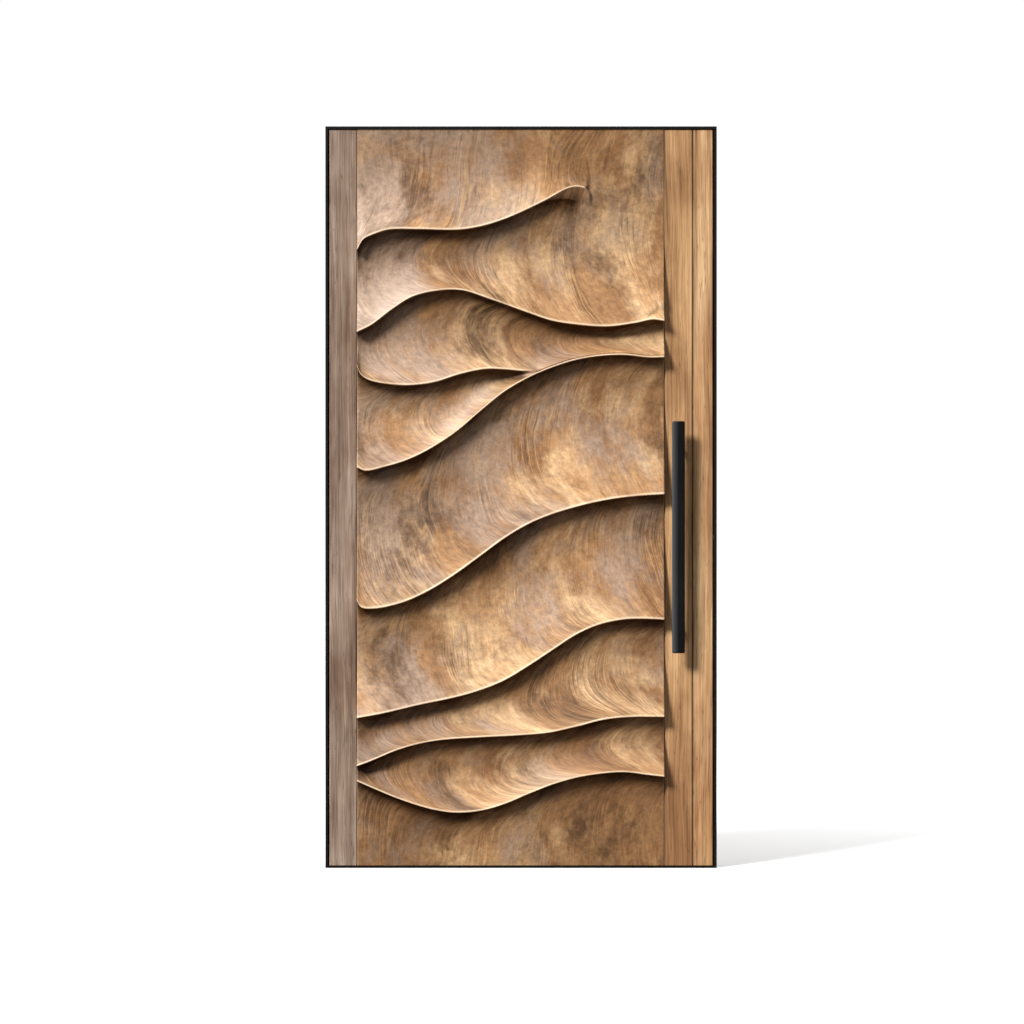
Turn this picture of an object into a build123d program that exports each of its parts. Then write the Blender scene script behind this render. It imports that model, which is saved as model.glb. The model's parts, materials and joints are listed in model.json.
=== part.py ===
from build123d import *
from math import hypot, sqrt
import os

# A wooden pivot door with a carved wave panel, hung in a thin steel frame.
# Millimetres. X runs right, Y runs back into the building, Z runs up.
# The origin is on the floor, midway between the jambs, in the middle of the leaf's thickness.

# Frame
frame_width = 1293
frame_height = 2450
frame_depth = 120
frame_plate = 8
threshold_plate = 5
frame_proud = 4.5
anchor_radius = 4.25
anchor_head_radius = 8
anchor_end_distance = 300
anchor_spacing = 600
anchor_setback = 25
corner_screw_setback = 20

# Leaf
board_thickness = 20
core_thickness = 40
back_thickness = 15
pivot_setback = 200
swing_clearance = 0.5
head_gap = 3
floor_gap = 3
left_board_width = 93.5
right_inner_board_width = 95
right_outer_board_width = 67.5
board_chamfer = 3
core_stile_left_width = 120
core_stile_right_width = 180
core_rail_top_height = 150
core_rail_lock_height = 160
core_rail_bottom_height = 250

# Carving
crest_proud = 45
lip_height = 3
step_slope = 3
scoop_fade_height = 80
scoop_power = 2
flare_power = 2.5
root_hollow = 24
root_hollow_height = 110
root_power = 2.5
faded_step = 0.4
tip_start = 631
tip_end = 781
merge_gap = 7
trim_allowance = 10

# Pull bars
pull_length = 763
pull_width = 42
pull_depth = 22
pull_edge_radius = 7
pull_end_chamfer = 3
pull_projection = 45
pull_height = 1093
pull_setback = 117
post_spacing = 600
post_radius = 10
bolt_radius = 4
bolt_grip = 20

# Pivots
pivot_disc_radius = 30
pivot_disc_thickness = 6
pivot_pin_radius = 9
pivot_pin_length = 42
pin_clearance = 0.05
bush_radius = 14
bush_length = 40
bush_flange_radius = 18
bush_flange_thickness = 4
washer_radius = 17
washer_thickness = 2
pivot_screw_circle = 23
recess_clearance = 2

# Stops and seals
stop_width = 18
stop_thickness = 12
stop_gap = 4
stop_pivot_clearance = 7.5
stop_screw_count = 4
brush_width = 5
brush_groove_depth = 6
rub_clearance = 0.3

# Roller catch
roller_radius = 8
roller_height = 12
roller_reach = 3
roller_clearance = 0.3
axle_radius = 2
axle_cover = 2
catch_travel = 7
squashed_spring = 3
fork_thickness = 3.2
fork_width = 10
carrier_length = 20
carrier_shoulder = 2.5
case_wall = 2
case_clearance = 0.15
spring_thickness = 0.8
spring_width = 8
faceplate_width = 24
faceplate_height = 90
plate_thickness = 3
strike_height = 70
strike_clearance = 1
plate_screw_setback = 10

# Screws, each kind as its shank's radius and its head's radius
m4_screw = (2, 4)
m5_screw = (2.5, 4.6)
corner_screw_length = 25
stop_screw_length = 23
strike_screw_length = 7
faceplate_screw_length = 25
pivot_screw_length = 10
hole_clearance = 0.15
fastener_sides = 8
cutting_overrun = 1

# Crest lines of the carving, left to right, drawn on a panel of this size: x from its left edge
# and height from its foot of each chosen point. They stretch with the panel.
drawn_width = 1013
drawn_height = 2431
crest_lines = {
    "a": [(1, 2034), (19, 2065), (49, 2082), (108, 2100), (207, 2101), (326, 2099), (406, 2110),
          (485, 2134), (564, 2168), (630, 2201), (690, 2234), (729, 2242), (781, 2230), (881, 2212),
          (1013, 2202)],
    "b": [(1, 1763), (49, 1787), (115, 1837), (181, 1878), (260, 1898), (346, 1900), (439, 1871),
          (551, 1831), (643, 1800), (736, 1786), (828, 1781), (921, 1793), (974, 1804), (1013, 1799)],
    "c": [(1, 1650), (12, 1624), (42, 1604), (108, 1591), (181, 1588), (260, 1599), (339, 1624),
          (422, 1641), (485, 1640), (541, 1635), (591, 1633)],
    "d": [(1, 1317), (29, 1306), (88, 1318), (168, 1343), (247, 1382), (326, 1434), (406, 1502),
          (485, 1566), (564, 1612), (643, 1646), (723, 1671), (802, 1684), (881, 1687), (961, 1679),
          (1013, 1680)],
    "e": [(1, 877), (12, 858), (42, 852), (95, 858), (168, 879), (247, 917), (326, 967), (406, 1025),
          (485, 1083), (564, 1130), (643, 1163), (736, 1191), (828, 1211), (921, 1223), (1013, 1229)],
    "f": [(1, 492), (88, 508), (207, 536), (326, 561), (406, 584), (485, 616), (564, 663), (643, 715),
          (723, 767), (802, 801), (881, 817), (947, 819), (1013, 816)],
    "g": [(1, 334), (49, 352), (128, 385), (207, 408), (287, 421), (406, 429), (524, 435), (630, 444),
          (723, 464), (815, 487), (908, 496), (1013, 496)],
    "h": [(1, 284), (49, 263), (128, 230), (207, 203), (267, 188), (326, 181), (406, 187), (485, 209),
          (564, 242), (643, 273), (723, 296), (802, 309), (881, 314), (961, 305), (1013, 299)],
}
tip_line = "a"
merging_line = "c"
merged_into = "d"
carving_stations = [-9, 7, 25, 45, 75, 111, 150, 191, 240, 300, 365, 431, 500, 560, 611, 661, 711,
                    771, 841, 921, 991, 1023]

# Places that follow from the sizes above
leaf_thickness = board_thickness + core_thickness + back_thickness
side_gap = hypot(pivot_setback, leaf_thickness / 2) - pivot_setback + swing_clearance
jamb_inner = frame_width / 2 - frame_plate
head_underside = frame_height - frame_plate
leaf_right = jamb_inner - side_gap
leaf_left = -leaf_right
leaf_bottom = threshold_plate + floor_gap
leaf_top = head_underside - head_gap
leaf_front = -leaf_thickness / 2
leaf_back = leaf_thickness / 2
core_front = leaf_front + board_thickness
core_back = core_front + core_thickness
frame_front = leaf_front - frame_proud
frame_back = frame_front + frame_depth
anchor_y = frame_front + anchor_setback
lower_anchors = (anchor_end_distance, anchor_end_distance + anchor_spacing)
upper_anchors = (frame_height - anchor_end_distance - anchor_spacing, frame_height - anchor_end_distance)
pivot_x = leaf_left + pivot_setback
panel_left = leaf_left + left_board_width
right_joint = leaf_right - right_outer_board_width
panel_right = right_joint - right_inner_board_width
core_left = leaf_left + core_stile_left_width
core_right = leaf_right - core_stile_right_width
panel_width = panel_right - panel_left
leaf_height = leaf_top - leaf_bottom
pull_x = leaf_right - pull_setback
stop_front = leaf_back + stop_gap
stop_back = stop_front + stop_thickness
stop_middle = stop_front + stop_thickness / 2
head_stop_left = pivot_x + leaf_back + stop_pivot_clearance
head_stop_right = jamb_inner - stop_width
disc_top = threshold_plate + pivot_disc_thickness
flange_bottom = disc_top + washer_thickness
flange_top = flange_bottom + bush_flange_thickness
top_disc_bottom = head_underside - pivot_disc_thickness
top_recess_floor = top_disc_bottom - recess_clearance
recess_radius = pivot_disc_radius + recess_clearance
catch_z = pull_height
roller_x = jamb_inner + roller_reach - roller_radius
faceplate_back = leaf_right - plate_thickness
carrier_front = roller_x - roller_radius - roller_clearance
carrier_back = carrier_front - carrier_length
fork_inner = roller_height / 2 + roller_clearance
fork_outer = fork_inner + fork_thickness
shoulder_outer = fork_outer + carrier_shoulder
case_half_width = roller_radius + case_clearance + case_wall
case_half_height = shoulder_outer + case_clearance + case_wall
spring_room = catch_travel + squashed_spring
case_back = carrier_back - spring_room - case_wall


def block(low, high):
    """A box between its lowest and its highest corner."""
    sizes = [high[i] - low[i] for i in range(3)]
    return Pos(*low) * Box(*sizes, align=(Align.MIN, Align.MIN, Align.MIN))


def centred_block(x_span, half_width, half_height):
    """A box of the catch, centred on the leaf's thickness and on the catch's height."""
    low = (x_span[0], -half_width, catch_z - half_height)
    high = (x_span[1], half_width, catch_z + half_height)
    return block(low, high)


def rod(start, end, radius):
    """A round bar between two points."""
    along = Vector(*end) - Vector(*start)
    base = Plane(origin=start, z_dir=along)
    return base * Cylinder(radius, along.length, align=(Align.CENTER, Align.CENTER, Align.MIN))


def many_sided(radius, low, high):
    """An upright prism with as many sides as the small fasteners have."""
    return extrude(Plane.XY.offset(low) * RegularPolygon(radius, fastener_sides), high - low)


def cross_rod(z, reach, radius):
    """A many-sided rod through the leaf, front to back, at the pulls' place."""
    across = Plane(origin=(pull_x, 0, z), z_dir=(0, 1, 0))
    return across * many_sided(radius, -reach, reach)


def countersunk(kind, length, clearance=0):
    """A many-sided screw with its flat head at the origin and its shank down Z."""
    shank, head = kind
    head_height = head - shank
    levels = [Plane.XY * RegularPolygon(head + clearance, fastener_sides),
              Plane.XY.offset(-head_height) * RegularPolygon(shank + clearance, fastener_sides)]
    return loft(levels, ruled=True) + many_sided(shank + clearance, -length - clearance, -head_height)


def screws_at(seats, kind, length):
    """Countersunk screws, each with its head flush at a seat."""
    screw = countersunk(kind, length)
    return Compound(children=[seat * screw for seat in seats])


def holes_at(seats, kind, length):
    """The holes that those screws sit in, a little wider and deeper."""
    hole = countersunk(kind, length, hole_clearance)
    return [seat * hole for seat in seats]


def corner_seats():
    """Heads of the screws that hold the jambs between head and threshold."""
    seats = []
    for side in (-1, 1):
        x = side * (frame_width - frame_plate) / 2
        for y in (frame_front + corner_screw_setback, frame_back - corner_screw_setback):
            seats.append(Plane(origin=(x, y, frame_height), z_dir=(0, 0, 1)))
            seats.append(Plane(origin=(x, y, 0), z_dir=(0, 0, -1)))
    return seats


def spread(low, high):
    """The places of a stop bar's screws, evenly spread along it."""
    pitch = (high - low) / stop_screw_count
    return [low + pitch * (i + 0.5) for i in range(stop_screw_count)]


def stop_seats():
    """Heads of the screws in the right stop bar."""
    return [Plane(origin=(head_stop_right, stop_middle, z), z_dir=(-1, 0, 0))
            for z in spread(threshold_plate, head_underside)]


def head_stop_seats():
    """Heads of the screws in the head stop bar."""
    return [Plane(origin=(x, stop_middle, head_underside - stop_width), z_dir=(0, 0, -1))
            for x in spread(head_stop_left, head_stop_right)]


def strike_seats():
    offset = strike_height / 2 - plate_screw_setback
    return [Plane(origin=(jamb_inner, 0, catch_z + side * offset), z_dir=(-1, 0, 0))
            for side in (-1, 1)]


def faceplate_seats():
    offset = faceplate_height / 2 - plate_screw_setback
    return [Plane(origin=(leaf_right, 0, catch_z + side * offset), z_dir=(1, 0, 0))
            for side in (-1, 1)]


def pivot_seats(height, facing):
    """Heads of the three screws in a pivot disc."""
    around = PolarLocations(pivot_screw_circle, 3)
    return [Plane(origin=(pivot_x + spot.position.X, spot.position.Y, height), z_dir=(0, 0, facing))
            for spot in around]


def anchor_holes(seats):
    """Countersunk through holes for the wall fixings."""
    depth = anchor_head_radius - anchor_radius
    far = -frame_plate - cutting_overrun
    outline = Polyline((0, cutting_overrun), (anchor_head_radius, cutting_overrun),
                       (anchor_head_radius, 0), (anchor_radius, -depth), (anchor_radius, far),
                       (0, far), close=True)
    hole = revolve(Plane.XZ * make_face(outline), Axis.Z)
    return [seat * hole for seat in seats]


def strike_opening(extra):
    """The opening that the roller's nose drops into, through the strike plate and the jamb."""
    half_chord = sqrt(roller_radius ** 2 - (roller_radius - roller_reach) ** 2)
    return centred_block((jamb_inner - cutting_overrun, frame_width / 2 + cutting_overrun),
                         half_chord + strike_clearance + extra,
                         roller_height / 2 + strike_clearance + extra)


def frame_jamb(side):
    near, far = sorted((side * jamb_inner, side * frame_width / 2))
    jamb = block((near, frame_front, threshold_plate), (far, frame_back, head_underside))
    jamb -= holes_at(corner_seats(), m4_screw, corner_screw_length)
    jamb -= anchor_holes([Plane(origin=(side * jamb_inner, anchor_y, z), z_dir=(-side, 0, 0))
                          for z in lower_anchors + upper_anchors])
    if side > 0:
        jamb -= centred_block((jamb_inner, jamb_inner + plate_thickness), faceplate_width / 2,
                              strike_height / 2)
        jamb -= strike_opening(hole_clearance)
        jamb -= holes_at(strike_seats(), m4_screw, strike_screw_length)
        jamb -= holes_at(stop_seats(), m4_screw, stop_screw_length)
    return jamb


def frame_head():
    head = block((-frame_width / 2, frame_front, head_underside),
                 (frame_width / 2, frame_back, frame_height))
    head -= holes_at(corner_seats(), m4_screw, corner_screw_length)
    head -= holes_at(head_stop_seats(), m4_screw, stop_screw_length)
    head -= holes_at(pivot_seats(top_disc_bottom, -1), m5_screw, pivot_screw_length)
    return head


def threshold():
    plate = block((-frame_width / 2, frame_front, 0), (frame_width / 2, frame_back, threshold_plate))
    plate -= holes_at(corner_seats(), m4_screw, corner_screw_length)
    plate -= holes_at(pivot_seats(disc_top, 1), m5_screw, pivot_screw_length)
    return plate


def stop_bar_right():
    bar = block((head_stop_right, stop_front, threshold_plate), (jamb_inner, stop_back, head_underside))
    return bar - holes_at(stop_seats(), m4_screw, stop_screw_length)


def stop_bar_head():
    bar = block((head_stop_left, stop_front, head_underside - stop_width),
                (head_stop_right, stop_back, head_underside))
    return bar - holes_at(head_stop_seats(), m4_screw, stop_screw_length)


def half_round_seal(start, end):
    """A seal strip of half-round section, flat against the stop bar's front face."""
    radius = stop_gap - rub_clearance
    front_half = block((-frame_width, stop_front - radius, 0), (frame_width, stop_front, frame_height))
    return rod(start, end, radius) & front_half


def stop_seal_right():
    x = jamb_inner - stop_width / 2
    return half_round_seal((x, stop_front, threshold_plate), (x, stop_front, head_underside - stop_width))


def stop_seal_head():
    z = head_underside - stop_width / 2
    return half_round_seal((head_stop_left, stop_front, z), (head_stop_right, stop_front, z))


def strike_plate():
    plate = centred_block((jamb_inner, jamb_inner + plate_thickness), faceplate_width / 2,
                          strike_height / 2)
    plate -= strike_opening(0)
    return plate - holes_at(strike_seats(), m4_screw, strike_screw_length)


def bottom_pivot_plate():
    foot = (pivot_x, 0, threshold_plate)
    plate = rod(foot, (pivot_x, 0, disc_top), pivot_disc_radius)
    plate += rod(foot, (pivot_x, 0, disc_top + pivot_pin_length), pivot_pin_radius)
    return plate - holes_at(pivot_seats(disc_top, 1), m5_screw, pivot_screw_length)


def top_pivot_plate():
    plate = rod((pivot_x, 0, top_disc_bottom), (pivot_x, 0, head_underside), pivot_disc_radius)
    plate += rod((pivot_x, 0, top_disc_bottom - pivot_pin_length), (pivot_x, 0, head_underside),
                 pivot_pin_radius)
    return plate - holes_at(pivot_seats(top_disc_bottom, -1), m5_screw, pivot_screw_length)


def pin_bore(low, high):
    return rod((pivot_x, 0, low), (pivot_x, 0, high), pivot_pin_radius + pin_clearance)


def bottom_pivot_washer():
    washer = rod((pivot_x, 0, disc_top), (pivot_x, 0, flange_bottom), washer_radius)
    return washer - pin_bore(disc_top, flange_bottom)


def bottom_pivot_bush():
    bush = rod((pivot_x, 0, flange_bottom), (pivot_x, 0, flange_bottom + bush_length), bush_radius)
    bush += rod((pivot_x, 0, flange_bottom), (pivot_x, 0, flange_top), bush_flange_radius)
    return bush - pin_bore(flange_bottom, flange_bottom + bush_length)


def top_pivot_bush():
    bush = rod((pivot_x, 0, top_recess_floor - bush_length), (pivot_x, 0, top_recess_floor), bush_radius)
    return bush - pin_bore(top_recess_floor - bush_length, top_recess_floor)


def pivot_recesses():
    """The round recesses in the leaf's ends that clear the pivot discs."""
    bottom = rod((pivot_x, 0, leaf_bottom - cutting_overrun), (pivot_x, 0, flange_top), recess_radius)
    top = rod((pivot_x, 0, top_recess_floor), (pivot_x, 0, leaf_top + cutting_overrun), recess_radius)
    return [bottom, top]


def bush_holes():
    radius = bush_radius + pin_clearance
    bottom_end = flange_bottom + bush_length + recess_clearance
    top_end = top_recess_floor - bush_length - recess_clearance
    bottom = rod((pivot_x, 0, flange_top), (pivot_x, 0, bottom_end), radius)
    top = rod((pivot_x, 0, top_end), (pivot_x, 0, top_recess_floor), radius)
    return [bottom, top]


def brush_grooves():
    """Grooves for the brush seals along the leaf's left edge, top and bottom."""
    half = brush_width / 2
    left = block((leaf_left, -half, leaf_bottom), (leaf_left + brush_groove_depth, half, leaf_top))
    top = block((leaf_left, -half, leaf_top - brush_groove_depth), (leaf_right, half, leaf_top))
    bottom = block((leaf_left, -half, leaf_bottom), (leaf_right, half, leaf_bottom + brush_groove_depth))
    return [left, top, bottom]


def core_piece(left, right, low, high):
    """A flat piece of the core, with the grooves and pivot holes that reach it."""
    piece = block((left, core_front, low), (right, core_back, high))
    return piece - brush_grooves() - pivot_recesses() - bush_holes()


def bolt_holes():
    return [cross_rod(z, leaf_thickness, bolt_radius + hole_clearance) for z in post_heights()]


def core_stile_right():
    stile = core_piece(core_right, leaf_right, leaf_bottom, leaf_top)
    stile -= centred_block((case_back, faceplate_back), case_half_width, case_half_height)
    stile -= centred_block((faceplate_back, leaf_right), faceplate_width / 2, faceplate_height / 2)
    stile -= holes_at(faceplate_seats(), m4_screw, faceplate_screw_length)
    return stile - bolt_holes()


def board(left, right, front, back):
    """A full-height board with chamfered long edges on its outer face."""
    piece = block((left, front, leaf_bottom), (right, back, leaf_top))
    outer = front if front < 0 else back
    edges = [edge for edge in piece.edges().filter_by(Axis.Z) if abs(edge.center().Y - outer) < 0.01]
    return chamfer(edges, board_chamfer)


def back_panel():
    return board(panel_left, panel_right, core_back, leaf_back) - pivot_recesses()


def crest_height(line, x):
    """The height of a drawn crest line at x, on a smooth curve through its chosen points."""
    last = len(line) - 1
    slopes = []
    for i in range(len(line)):
        x_before, z_before = line[max(i - 1, 0)]
        x_after, z_after = line[min(i + 1, last)]
        slopes.append((z_after - z_before) / (x_after - x_before))
    if x <= line[0][0]:
        return line[0][1] + slopes[0] * (x - line[0][0])
    if x >= line[last][0]:
        return line[last][1] + slopes[last] * (x - line[last][0])
    i = max(k for k in range(last) if line[k][0] <= x)
    (x0, z0), (x1, z1) = line[i], line[i + 1]
    span = x1 - x0
    t = (x - x0) / span
    rise = z1 - z0
    bend = (slopes[i] * span - rise) * (1 - t) + (rise - slopes[i + 1] * span) * t
    return z0 + rise * t + bend * t * (1 - t)


def ease(t):
    """A smooth step from 0 to 1."""
    t = min(max(t, 0), 1)
    return t * t * (3 - 2 * t)


def crest_heights(x):
    """The heights of all crests at a drawn x, with the merging one kept just above the next."""
    stretch = leaf_height / drawn_height
    heights = {name: leaf_bottom + crest_height(line, x) * stretch for name, line in crest_lines.items()}
    heights[merging_line] = max(heights[merging_line], heights[merged_into] + merge_gap)
    return heights


def scoop(x, top, bottom, power, hollow):
    """A hollow curve from a rounded root down to a crest, each given as (y, z)."""
    height = top[1] - bottom[1]
    hollow_height = min(root_hollow_height, height / 2)
    points = []
    for step in range(9):
        t = (step / 8) ** 1.4
        rest = max(1 - t * height / hollow_height, 0)
        y = top[0] + (bottom[0] - top[0]) * t ** power - hollow * rest ** root_power
        points.append((x, y, top[1] - height * t))
    return Spline(*points)


def carving_section(drawn_x):
    """One upright section through the carving: a chain of lips, steps and scoops."""
    x = panel_left + drawn_x * panel_width / drawn_width
    above = leaf_top + trim_allowance
    below = leaf_bottom - trim_allowance
    behind = core_front + trim_allowance
    heights = crest_heights(drawn_x)
    next_heights = list(heights.values())[1:] + [below]
    edges = [Line((x, behind, above), (x, leaf_front, above))]
    root = (leaf_front, above)
    hollow = 0
    for (name, height), next_height in zip(heights.items(), next_heights):
        proud = crest_proud
        power = scoop_power
        if name == tip_line:
            fade = ease((drawn_x - tip_start) / (tip_end - tip_start))
            proud = max(crest_proud * (1 - fade), faded_step)
            power = flare_power
        crest = (leaf_front - proud, height)
        edges.append(scoop(x, root, crest, power, hollow))
        lip_end = height - lip_height
        room = lip_end - next_height
        depth = max(min(crest_proud * ease(room / scoop_fade_height), proud), faded_step)
        step_end = lip_end - min(step_slope, room / 4)
        hollow = root_hollow * depth / crest_proud
        root = (crest[0] + depth, step_end)
        edges.append(Line((x, crest[0], height), (x, crest[0], lip_end)))
        edges.append(Line((x, crest[0], lip_end), (x, root[0] - hollow, step_end)))
    edges.append(scoop(x, root, (leaf_front, below), power, hollow))
    edges.append(Line((x, leaf_front, below), (x, behind, below)))
    edges.append(Line((x, behind, below), (x, behind, above)))
    return Face(Wire(edges))


def carved_panel():
    """The wave carving, lofted through its sections and trimmed square on its sides and back."""
    waves = loft([carving_section(x) for x in carving_stations])
    front_limit = leaf_front - 2 * crest_proud
    trim = block((panel_left, front_limit, leaf_bottom), (panel_right, core_front, leaf_top))
    return (waves & trim) - pivot_recesses()


def post_heights():
    return [pull_height - post_spacing / 2, pull_height + post_spacing / 2]


def pull_bar(side):
    """A pull bar with soft long edges and eased ends, in front of the leaf (-1) or behind it (1)."""
    middle = side * (leaf_back + pull_projection + pull_depth / 2)
    foot = Plane(origin=(pull_x, middle, pull_height - pull_length / 2), z_dir=(0, 0, 1))
    bar = extrude(foot * RectangleRounded(pull_width, pull_depth, pull_edge_radius), pull_length)
    ends = bar.faces().sort_by(Axis.Z)
    return chamfer(ends[0].edges() + ends[-1].edges(), pull_end_chamfer)


def pull_posts(side):
    """The two posts of a pull, each bored for the bolt that joins the two pulls."""
    posts = []
    for z in post_heights():
        post = rod((pull_x, side * leaf_back, z), (pull_x, side * (leaf_back + pull_projection), z),
                   post_radius)
        posts.append(post - cross_rod(z, leaf_back + bolt_grip + hole_clearance,
                                      bolt_radius + hole_clearance))
    return Compound(children=posts)


def pull_bolts():
    reach = leaf_back + bolt_grip
    return Compound(children=[cross_rod(z, reach, bolt_radius) for z in post_heights()])


def brush_seal_left():
    half = brush_width / 2
    tip = leaf_left - side_gap + rub_clearance
    return block((tip, -half, leaf_bottom + brush_groove_depth),
                 (leaf_left + brush_groove_depth, half, leaf_top - brush_groove_depth))


def brush_runs(low, high):
    """The two stretches of a brush seal, left and right of the pivot recess."""
    half = brush_width / 2
    left = block((leaf_left, -half, low), (pivot_x - recess_radius, half, high))
    right = block((pivot_x + recess_radius, -half, low), (leaf_right, half, high))
    return Compound(children=[left, right])


def catch_faceplate():
    plate = centred_block((faceplate_back, leaf_right), faceplate_width / 2, faceplate_height / 2)
    plate -= centred_block((faceplate_back, leaf_right), roller_radius + 2 * case_clearance,
                           fork_outer + roller_clearance)
    return plate - holes_at(faceplate_seats(), m4_screw, faceplate_screw_length)


def catch_case():
    case = centred_block((case_back, faceplate_back), case_half_width, case_half_height)
    return case - centred_block((case_back + case_wall, faceplate_back),
                                case_half_width - case_wall, case_half_height - case_wall)


def catch_spring():
    """A bow spring: its two feet on the case's back wall, its middle against the carrier."""
    foot = case_back + case_wall
    nose = carrier_back - rub_clearance
    half = shoulder_outer - spring_thickness
    inner_half = half - 1.5 * spring_thickness
    outer = ThreePointArc((foot, -half), (nose, 0), (foot, half))
    inner = ThreePointArc((foot, inner_half), (nose - spring_thickness, 0), (foot, -inner_half))
    ends = [Line((foot, half), (foot, inner_half)), Line((foot, -inner_half), (foot, -half))]
    side = Plane(origin=(0, spring_width / 2, catch_z), x_dir=(1, 0, 0), z_dir=(0, -1, 0))
    return extrude(side * make_face([outer, ends[0], inner, ends[1]]), spring_width)


def axle_hole():
    return rod((roller_x, 0, catch_z - shoulder_outer), (roller_x, 0, catch_z + shoulder_outer),
               axle_radius + pin_clearance)


def catch_carrier():
    """The sliding block: a tail in the case and a fork that holds the roller's axle."""
    tip = roller_x + axle_radius + axle_cover
    shoulder = faceplate_back - rub_clearance
    block_half_width = roller_radius
    carrier = centred_block((carrier_back, carrier_front), block_half_width, shoulder_outer)
    fork = centred_block((carrier_front, shoulder), fork_width / 2, shoulder_outer)
    fork += centred_block((shoulder, tip), fork_width / 2, fork_outer)
    fork -= centred_block((carrier_front, tip), fork_width / 2, fork_inner)
    return carrier + fork - axle_hole()


def catch_axle():
    return rod((roller_x, 0, catch_z - fork_outer), (roller_x, 0, catch_z + fork_outer), axle_radius)


def catch_roller():
    half = roller_height / 2
    roller = rod((roller_x, 0, catch_z - half), (roller_x, 0, catch_z + half), roller_radius)
    return roller - axle_hole()


middle_rail_low = catch_z - core_rail_lock_height / 2
middle_rail_high = catch_z + core_rail_lock_height / 2
bottom_rail_top = leaf_bottom + core_rail_bottom_height
top_rail_bottom = leaf_top - core_rail_top_height

parts = {
    "frame_jamb_left": frame_jamb(-1),
    "frame_jamb_right": frame_jamb(1),
    "frame_head": frame_head(),
    "threshold": threshold(),
    "frame_corner_screws": screws_at(corner_seats(), m4_screw, corner_screw_length),
    "stop_bar_right": stop_bar_right(),
    "stop_bar_head": stop_bar_head(),
    "stop_bar_screws": screws_at(stop_seats() + head_stop_seats(), m4_screw, stop_screw_length),
    "stop_seal_right": stop_seal_right(),
    "stop_seal_head": stop_seal_head(),
    "strike_plate": strike_plate(),
    "strike_screws": screws_at(strike_seats(), m4_screw, strike_screw_length),
    "bottom_pivot_plate": bottom_pivot_plate(),
    "bottom_pivot_washer": bottom_pivot_washer(),
    "bottom_pivot_screws": screws_at(pivot_seats(disc_top, 1), m5_screw, pivot_screw_length),
    "top_pivot_plate": top_pivot_plate(),
    "top_pivot_screws": screws_at(pivot_seats(top_disc_bottom, -1), m5_screw, pivot_screw_length),
    "core_stile_left": core_piece(leaf_left, core_left, leaf_bottom, leaf_top),
    "core_stile_right": core_stile_right(),
    "core_rail_top": core_piece(core_left, core_right, top_rail_bottom, leaf_top),
    "core_rail_lock": core_piece(core_left, core_right, middle_rail_low, middle_rail_high),
    "core_rail_bottom": core_piece(core_left, core_right, leaf_bottom, bottom_rail_top),
    "core_infill_upper": core_piece(core_left, core_right, middle_rail_high, top_rail_bottom),
    "core_infill_lower": core_piece(core_left, core_right, bottom_rail_top, middle_rail_low),
    "left_stile_board": board(leaf_left, panel_left, leaf_front, core_front),
    "carved_panel": carved_panel(),
    "right_inner_board": board(panel_right, right_joint, leaf_front, core_front) - bolt_holes(),
    "right_outer_board": board(right_joint, leaf_right, leaf_front, core_front),
    "back_board_left": board(leaf_left, panel_left, core_back, leaf_back),
    "back_panel": back_panel(),
    "back_board_right": board(panel_right, leaf_right, core_back, leaf_back) - bolt_holes(),
    "brush_seal_left": brush_seal_left(),
    "brush_seal_top": brush_runs(leaf_top - brush_groove_depth, head_underside - rub_clearance),
    "brush_seal_bottom": brush_runs(threshold_plate + rub_clearance, leaf_bottom + brush_groove_depth),
    "bottom_pivot_bush": bottom_pivot_bush(),
    "top_pivot_bush": top_pivot_bush(),
    "pull_bar_front": pull_bar(-1),
    "pull_posts_front": pull_posts(-1),
    "pull_bar_back": pull_bar(1),
    "pull_posts_back": pull_posts(1),
    "pull_bolts": pull_bolts(),
    "catch_case": catch_case(),
    "catch_faceplate": catch_faceplate(),
    "catch_screws": screws_at(faceplate_seats(), m4_screw, faceplate_screw_length),
    "catch_spring": catch_spring(),
    "catch_carrier": catch_carrier(),
    "catch_axle": catch_axle(),
    "catch_roller": catch_roller(),
}

os.makedirs("parts", exist_ok=True)
for name, shape in parts.items():
    export_step(shape, f"parts/{name}.step")
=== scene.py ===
import json
import math

import bpy
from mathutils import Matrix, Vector


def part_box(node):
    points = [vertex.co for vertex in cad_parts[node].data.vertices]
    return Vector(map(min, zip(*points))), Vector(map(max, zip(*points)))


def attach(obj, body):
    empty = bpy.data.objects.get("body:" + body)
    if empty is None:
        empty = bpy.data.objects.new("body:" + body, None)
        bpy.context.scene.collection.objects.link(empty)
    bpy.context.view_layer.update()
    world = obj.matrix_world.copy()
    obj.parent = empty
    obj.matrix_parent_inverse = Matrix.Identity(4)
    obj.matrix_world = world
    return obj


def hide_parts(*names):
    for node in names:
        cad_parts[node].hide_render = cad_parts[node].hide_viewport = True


# A wooden pivot door with a carved wave panel, hung in a thin steel frame.
# Metres. The door's front faces -Y, and its foot stands on z = 0.

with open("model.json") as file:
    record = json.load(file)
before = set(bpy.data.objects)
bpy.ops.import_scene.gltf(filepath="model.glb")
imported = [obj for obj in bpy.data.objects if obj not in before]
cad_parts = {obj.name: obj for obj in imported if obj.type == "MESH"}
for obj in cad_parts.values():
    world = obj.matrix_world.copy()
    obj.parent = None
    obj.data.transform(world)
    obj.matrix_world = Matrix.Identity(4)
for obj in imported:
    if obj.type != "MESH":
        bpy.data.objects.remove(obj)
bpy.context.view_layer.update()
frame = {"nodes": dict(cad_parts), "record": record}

# Camera and lights
CAMERA_PLACE = (-0.030, -12.0, 1.176)
CAMERA_LENS = 127.25
FLOOR_REACH = 60.0
SKY_LIGHT = 0.22

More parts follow.
